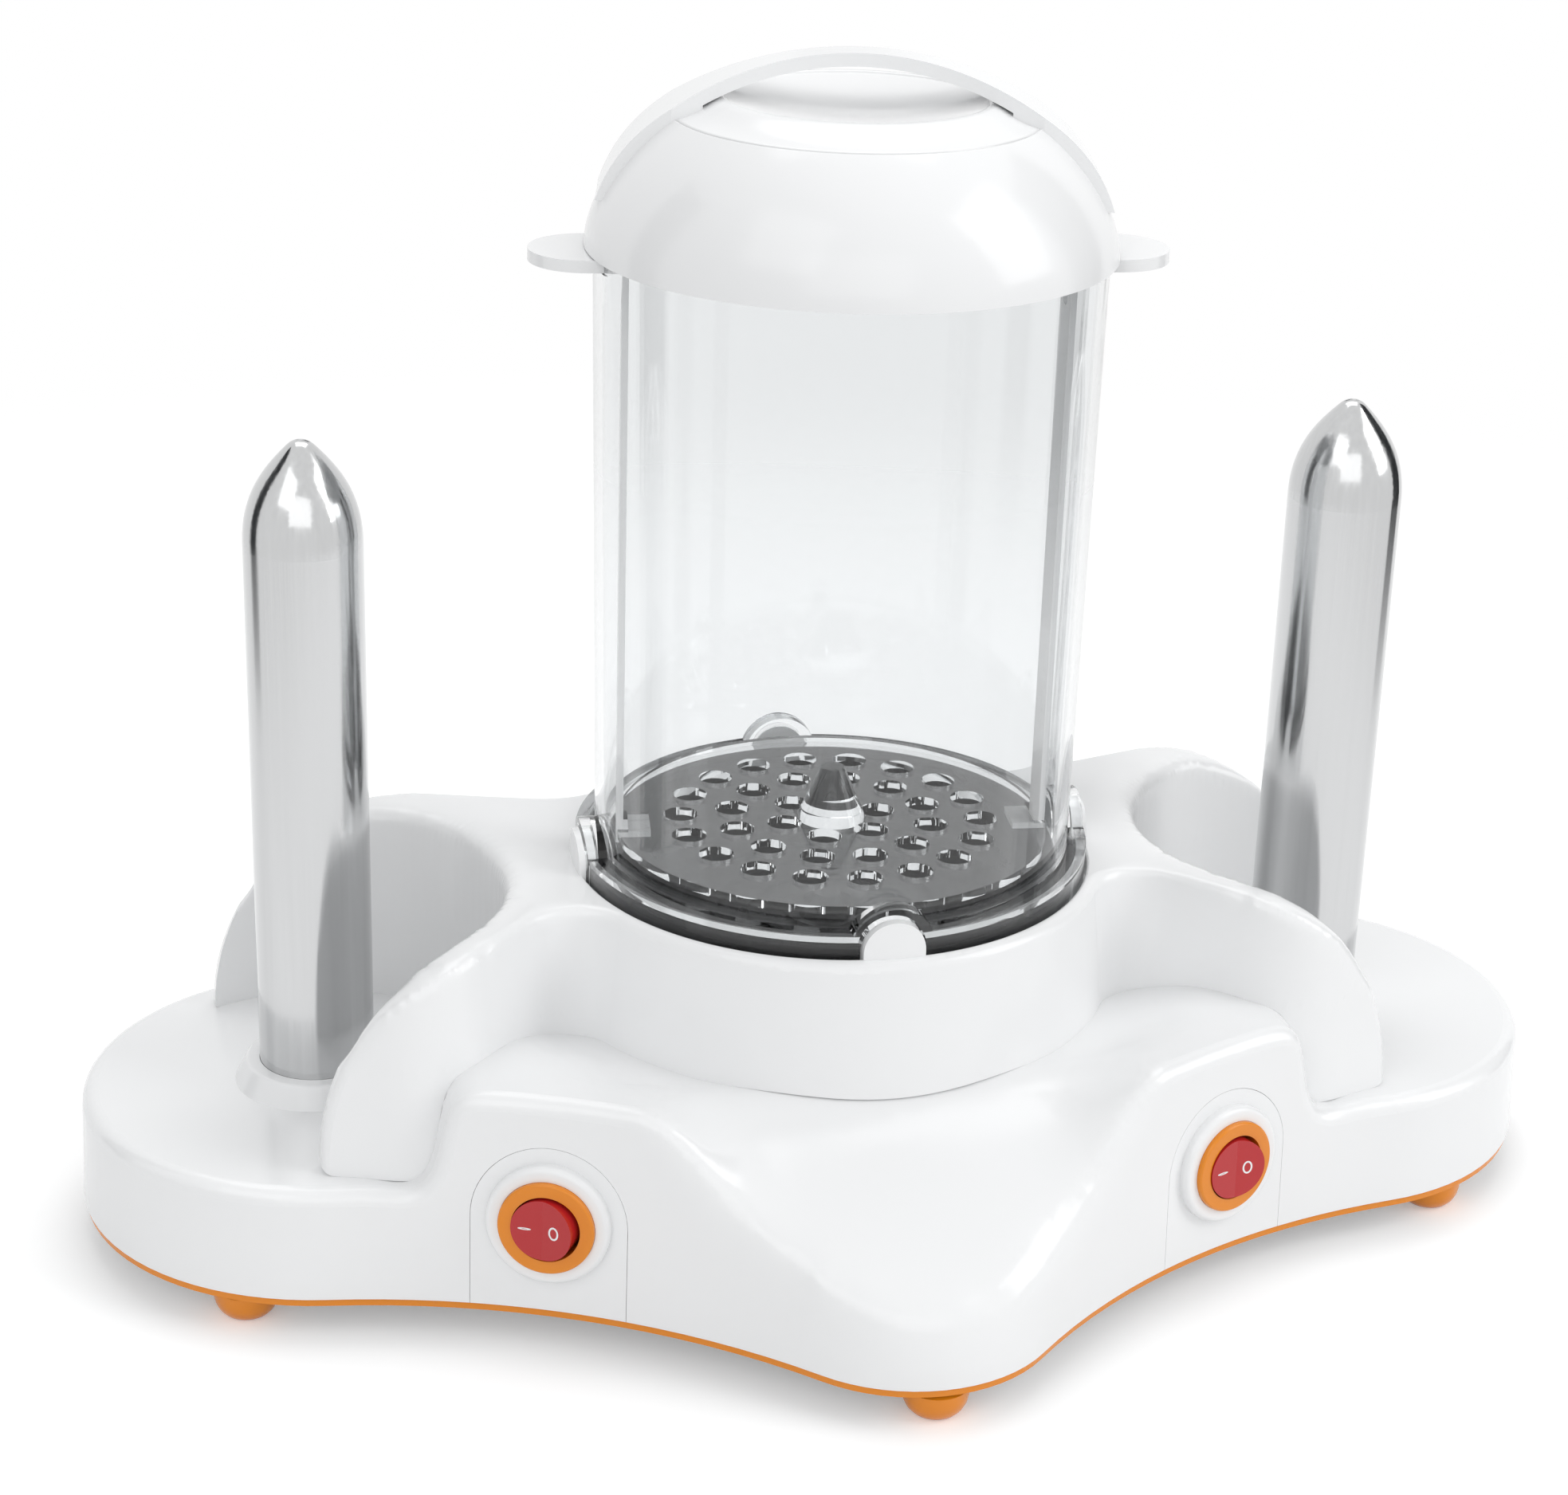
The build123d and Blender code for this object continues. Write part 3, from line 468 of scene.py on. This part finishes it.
def keep_normals(piece, node, share_at):
    """The solid's own shading on its copy, where the copy isn't softened."""
    data = piece.data
    source = nodes[node].data
    corners = kdtree.KDTree(len(source.loops))
    normals = [normal.vector.copy() for normal in source.corner_normals]
    for loop in source.loops:
        corners.insert(source.vertices[loop.vertex_index].co, loop.index)
    corners.balance()
    found = [normal.vector.copy() for normal in data.corner_normals]
    for face in data.polygons:
        for i in face.loop_indices:
            spot = data.vertices[data.loops[i].vertex_index].co
            if share_at(spot) > 0:
                continue
            near = [normals[k] for _, k, _ in corners.find_range(spot, SAME_SPOT)]
            if near:
                found[i] = max(near, key=face.normal.dot)
    data.normals_split_custom_set(found)


def ramp(value, limits):
    """0 at the first limit and 1 at the second."""
    return (value - limits[0]) / (limits[1] - limits[0])


def eased(share):
    """Share kept within 0 and 1, with soft ends."""
    share = min(max(share, 0.0), 1.0)
    return share * share * (3 - 2 * share)


def in_nose(spot):
    """Share of softening on the base: whole at the nose, none by the switches and the drum."""
    return eased(min(ramp(abs(spot.x), NOSE_X), ramp(spot.y, NOSE_Y), ramp(spot.z, NOSE_Z)))


def in_walls(spot):
    """Share of softening on the tower: whole on the walls, none by the drum and the base."""
    return eased(min(ramp(math.hypot(spot.x, spot.y), WALLS_R), ramp(spot.z, WALLS_Z)))


# Pieces of the machine

def add_moulding(name, node, share_at, step, passes):
    """White moulding of the base, softened where the share says."""
    mesh = copied(node)
    soften(mesh, share_at, step, passes)
    piece = add_piece(name, mesh, "white_plastic", "base")
    piece.data.set_sharp_from_angle(angle=SHARP_TURN)
    keep_normals(piece, node, share_at)
    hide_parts(node)


def add_plate():
    """Bottom plate with a thin edge: its underside slants in below it."""
    mesh = copied("base_plate")
    low, high = (corner.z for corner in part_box("base_plate"))
    bmesh.ops.bisect_plane(mesh, geom=[*mesh.verts, *mesh.edges, *mesh.faces], dist=WELD,
                           plane_co=(0.0, 0.0, high - PLATE_EDGE), plane_no=UPWARD)
    reached = {max(mesh.verts, key=lambda v: v.co.x)}
    waiting = list(reached)
    while waiting:
        for face in waiting.pop().link_faces:
            if abs(face.normal.z) < UPRIGHT_LEAN:
                fresh = set(face.verts) - reached
                reached |= fresh
                waiting += fresh
    moves = []
    for vert in reached:
        if vert.co.z < low + WELD:
            sides = [f.normal for f in vert.link_faces if abs(f.normal.z) < UPRIGHT_LEAN]
            moves.append((vert, sum(sides, Vector()).normalized() * PLATE_SLANT))
    for vert, move in moves:
        vert.co -= move
    plate = add_piece("bottom_plate", mesh, "orange_plastic", "base", smooth=False)
    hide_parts("base_plate")
    plate.visible_diffuse = False


def add_bowl_rim():
    """Black upstand on the bowl's flange, rounded on top."""
    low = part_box("heater_bowl")[1].z - BOWL_RIM_LAP
    middle = (BOWL_RIM_IN + BOWL_RIM_OUT) * HALF
    arc_r = (BOWL_RIM_OUT - BOWL_RIM_IN) * HALF
    arc_z = BOWL_RIM_TOP - arc_r
    turns = [math.pi * i / BOWL_RIM_ARC_N for i in range(BOWL_RIM_ARC_N + 1)]
    arc = [(middle + arc_r * math.cos(a), arc_z + arc_r * math.sin(a)) for a in turns]
    profile = [(BOWL_RIM_OUT, low), *arc, (BOWL_RIM_IN, low)]
    add_piece("bowl_rim", lathe(profile, RING_STEPS), "black_coating", "base")


def add_feet():
    """Feet with a rounded, narrower sole."""
    for i in range(1, FOOT_N + 1):
        low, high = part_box(f"foot_{i}")
        middle = (low + high) * HALF
        mesh = lathe(FOOT, FOOT_STEPS)
        bmesh.ops.translate(mesh, verts=mesh.verts, vec=(middle.x, middle.y, 0.0))
        foot = add_piece(f"round_foot_{i}", mesh, "orange_plastic", "base")
        foot.data.set_sharp_from_angle(angle=SHARP_TURN)
        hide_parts(f"foot_{i}")


def add_shoulder():
    """Ring that rolls from the lid's crown down to its lip."""
    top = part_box("lid")[1].z - HANDLE_H - CROWN_H
    profile = [(r, top + h) for r, h in SHOULDER]
    add_piece("lid_shoulder", lathe(profile, RING_STEPS), "white_plastic", "lid")


def rocker_frame(side):
    """Matrix from a rocker's own axes to the world."""
    joint = joints[f"rocker_{side}_press"]
    up = Vector(joint["axis"]).normalized()
    across = Vector((up.y, -up.x, 0.0)).normalized()
    turn = Matrix((across, up, across.cross(up))).transposed().to_4x4()
    return Matrix.Translation(joint["pos_m"]) @ turn @ Matrix.Rotation(KEY_TILT, 4, "Y")


def ellipse(centre_x, rx, ry):
    """Points round an ellipse on the level axis."""
    turns = [math.tau * i / MARK_STEPS for i in range(MARK_STEPS)]
    return [(centre_x + rx * math.cos(a), ry * math.sin(a)) for a in turns]


def add_mark(name, side, outer, inner):
    """Thin printed mark between two outlines on the rocker's slanted face."""
    mesh = bmesh.new()
    place = rocker_frame(side)

    def lifted(points, h):
        """The outline on the rocker's face, at a height above it."""
        spots = [(x, y, KEY_CROWN - KEY_DIP * (1 - abs(x) / KEY_R) + h) for x, y in points]
        return [mesh.verts.new(place @ Vector(spot)) for spot in spots]

    top_out, top_in = lifted(outer, MARK_H), lifted(inner, MARK_H)
    low_out, low_in = lifted(outer, -MARK_H), lifted(inner, -MARK_H)
    for i in range(MARK_STEPS):
        j = (i + 1) % MARK_STEPS
        for one, two in ((top_out, top_in), (low_out, low_in), (top_out, low_out), (top_in, low_in)):
            mesh.faces.new((one[i], one[j], two[j], two[i]))
    add_piece(name, mesh, "white_plastic", f"rocker_{side}", smooth=False)


def add_marks(side):
    """Ring and dash on one rocker."""
    add_mark(f"ring_mark_{side}", side, ellipse(RING_X, RING_RX, RING_RY),
             ellipse(RING_X, RING_RX - RING_W, RING_RY - RING_W))
    add_mark(f"dash_mark_{side}", side, ellipse(DASH_X, DASH_RX, DASH_RY),
             ellipse(DASH_X, DASH_HOLE_RX, DASH_HOLE_RY))


# Camera, surroundings and lamps

def add_camera():
    """The camera at the photograph's place, with its axes as measured."""
    data = bpy.data.cameras.new("camera")
    camera = bpy.data.objects.new("camera", data)
    scene.collection.objects.link(camera)
    right = Vector(CAMERA_RIGHT).normalized()
    back = right.cross(Vector(CAMERA_UP)).normalized()
    turn = Matrix((right, back.cross(right), back)).transposed().to_4x4()
    camera.matrix_world = Matrix.Translation(EYE) @ turn
    data.sensor_width = SENSOR_W
    data.sensor_fit = "HORIZONTAL"
    data.lens = FOCAL_PX / IMAGE_W * SENSOR_W
    data.clip_start = CLIP_NEAR
    data.clip_end = CLIP_FAR
    scene.camera = camera


def seen_share(tree):
    """1 for rays that show the background: straight, mirrored or refracted."""
    path = tree.nodes.new("ShaderNodeLightPath")
    seen = path.outputs["Is Camera Ray"]
    for name in ("Is Glossy Ray", "Is Transmission Ray"):
        either = tree.nodes.new("ShaderNodeMath")
        either.operation = "MAXIMUM"
        tree.links.new(seen, either.inputs[0])
        tree.links.new(path.outputs[name], either.inputs[1])
        seen = either.outputs[0]
    return seen


def add_world():
    """Soft even light, and a white background where it is seen."""
    world = bpy.data.worlds.new("studio")
    scene.world = world
    world.use_nodes = True
    tree = world.node_tree
    tree.nodes.clear()
    out = tree.nodes.new("ShaderNodeOutputWorld")
    light = value_node(tree, "ShaderNodeBackground", Color=opaque(WORLD_COLOUR), Strength=WORLD_LIGHT)
    seen = value_node(tree, "ShaderNodeBackground", Color=opaque(PURE_WHITE), Strength=1.0)
    surface = mixed(tree, seen_share(tree), light.outputs["Background"], seen.outputs["Background"])
    tree.links.new(surface, out.inputs["Surface"])


def floor_glow(tree):
    """Glow of the floor where it is seen."""
    glow = tree.nodes.new("ShaderNodeMath")
    glow.operation = "MULTIPLY"
    glow.inputs[1].default_value = FLOOR_GLOW
    tree.links.new(seen_share(tree), glow.inputs[0])
    return glow.outputs[0]


def far_share(tree):
    """0 near the machine and 1 where the floor has faded out."""
    place = tree.nodes.new("ShaderNodeTexCoord")
    reach = tree.nodes.new("ShaderNodeVectorMath")
    reach.operation = "LENGTH"
    tree.links.new(place.outputs["Object"], reach.inputs[0])
    fade = tree.nodes.new("ShaderNodeMapRange")
    fade.interpolation_type = "SMOOTHSTEP"
    fade.inputs["From Min"].default_value, fade.inputs["From Max"].default_value = FLOOR_FADE
    tree.links.new(reach.outputs["Value"], fade.inputs["Value"])
    return fade.outputs["Result"]


def add_floor():
    """Pale floor that glows a little where it is seen, keeps the shadow and fades out far off."""
    bpy.ops.mesh.primitive_plane_add(size=FLOOR_SIZE)
    floor = bpy.context.object
    floor.name = "floor"
    material, tree, shader = new_material("floor_paper")
    tone = tinted(tree, noise(tree, PAPER_TONE), scaled(FLOOR_COLOUR, FLOOR_DARK_SHARE), FLOOR_COLOUR)
    tree.links.new(tone, shader.inputs["Base Color"])
    tree.links.new(floor_glow(tree), shader.inputs["Emission Strength"])
    shader.inputs["Roughness"].default_value = FLOOR_ROUGH
    shader.inputs["Specular IOR Level"].default_value = FLOOR_GLOSS
    shader.inputs["Emission Color"].default_value = opaque(PURE_WHITE)
    clear = tree.nodes.new("ShaderNodeBsdfTransparent")
    surface = mixed(tree, far_share(tree), shader.outputs["BSDF"], clear.outputs["BSDF"])
    tree.links.new(surface, tree.nodes["Material Output"].inputs["Surface"])
    floor.data.materials.append(material)


def facing(spot, aim, front):
    """Turn at a spot that brings the front axis round to a point."""
    return (Vector(aim) - Vector(spot)).to_track_quat(front, "Y").to_euler()


def add_card(name, spot, aim, size, soft_light):
    """Dark card that reflections see, and where asked also soft light and refractions."""
    bpy.ops.mesh.primitive_plane_add(size=1.0)
    card = bpy.context.object
    card.name = name
    card.scale = (*size, 1.0)
    card.location = spot
    card.rotation_euler = facing(spot, aim, "Z")
    material, tree, shader = new_material(name)
    tone = tinted(tree, noise(tree, PAPER_TONE), scaled(CARD_COLOUR, CARD_DARK_SHARE), CARD_COLOUR)
    tree.links.new(tone, shader.inputs["Base Color"])
    shader.inputs["Roughness"].default_value = CARD_ROUGH
    shader.inputs["Specular IOR Level"].default_value = 0.0
    card.data.materials.append(material)
    card.visible_camera = False
    card.visible_shadow = False
    card.visible_diffuse = soft_light
    card.visible_transmission = soft_light


def add_lamp(name, spot, size, watts):
    """Rectangular softbox."""
    data = bpy.data.lights.new(name, "AREA")
    data.shape = "RECTANGLE"
    data.size, data.size_y = size
    data.energy = watts
    lamp = bpy.data.objects.new(name, data)
    scene.collection.objects.link(lamp)
    lamp.location = spot
    lamp.rotation_euler = facing(spot, LAMP_AIM, "-Z")


# The machine in its finishes
finishes = {name: plastic(name, *values) for name, values in PLASTICS.items()}
finishes |= {name: inner_metal(name, *values) for name, values in INNER_METALS.items()}
finishes["clear_plastic"] = clear_plastic()
finishes["polished_steel"] = polished_steel()
finishes["black_coating"] = coated_metal()
for part in frame["record"]["subparts"]:
    node = nodes[part["node"]]
    node.data.materials.clear()
    node.data.materials.append(finishes[part["material_slot"]])

# Clear plastic lets the light through
for name in CLEAR_NODES:
    nodes[name].visible_shadow = False

# The pieces, added
add_plate()
add_moulding("base_moulding", "base_housing", in_nose, NOSE_STEP, NOSE_PASSES)
add_moulding("tower_moulding", "tower_cover", in_walls, WALLS_STEP, WALLS_PASSES)
add_bowl_rim()
add_feet()
add_shoulder()
for side in ("left", "right"):
    add_marks(side)

# The studio, set up
add_camera()
add_world()
add_floor()
for name, card in CARDS.items():
    add_card(name, *card)
for name, lamp in LAMPS.items():
    add_lamp(name, *lamp)
scene.view_settings.view_transform = "Standard"
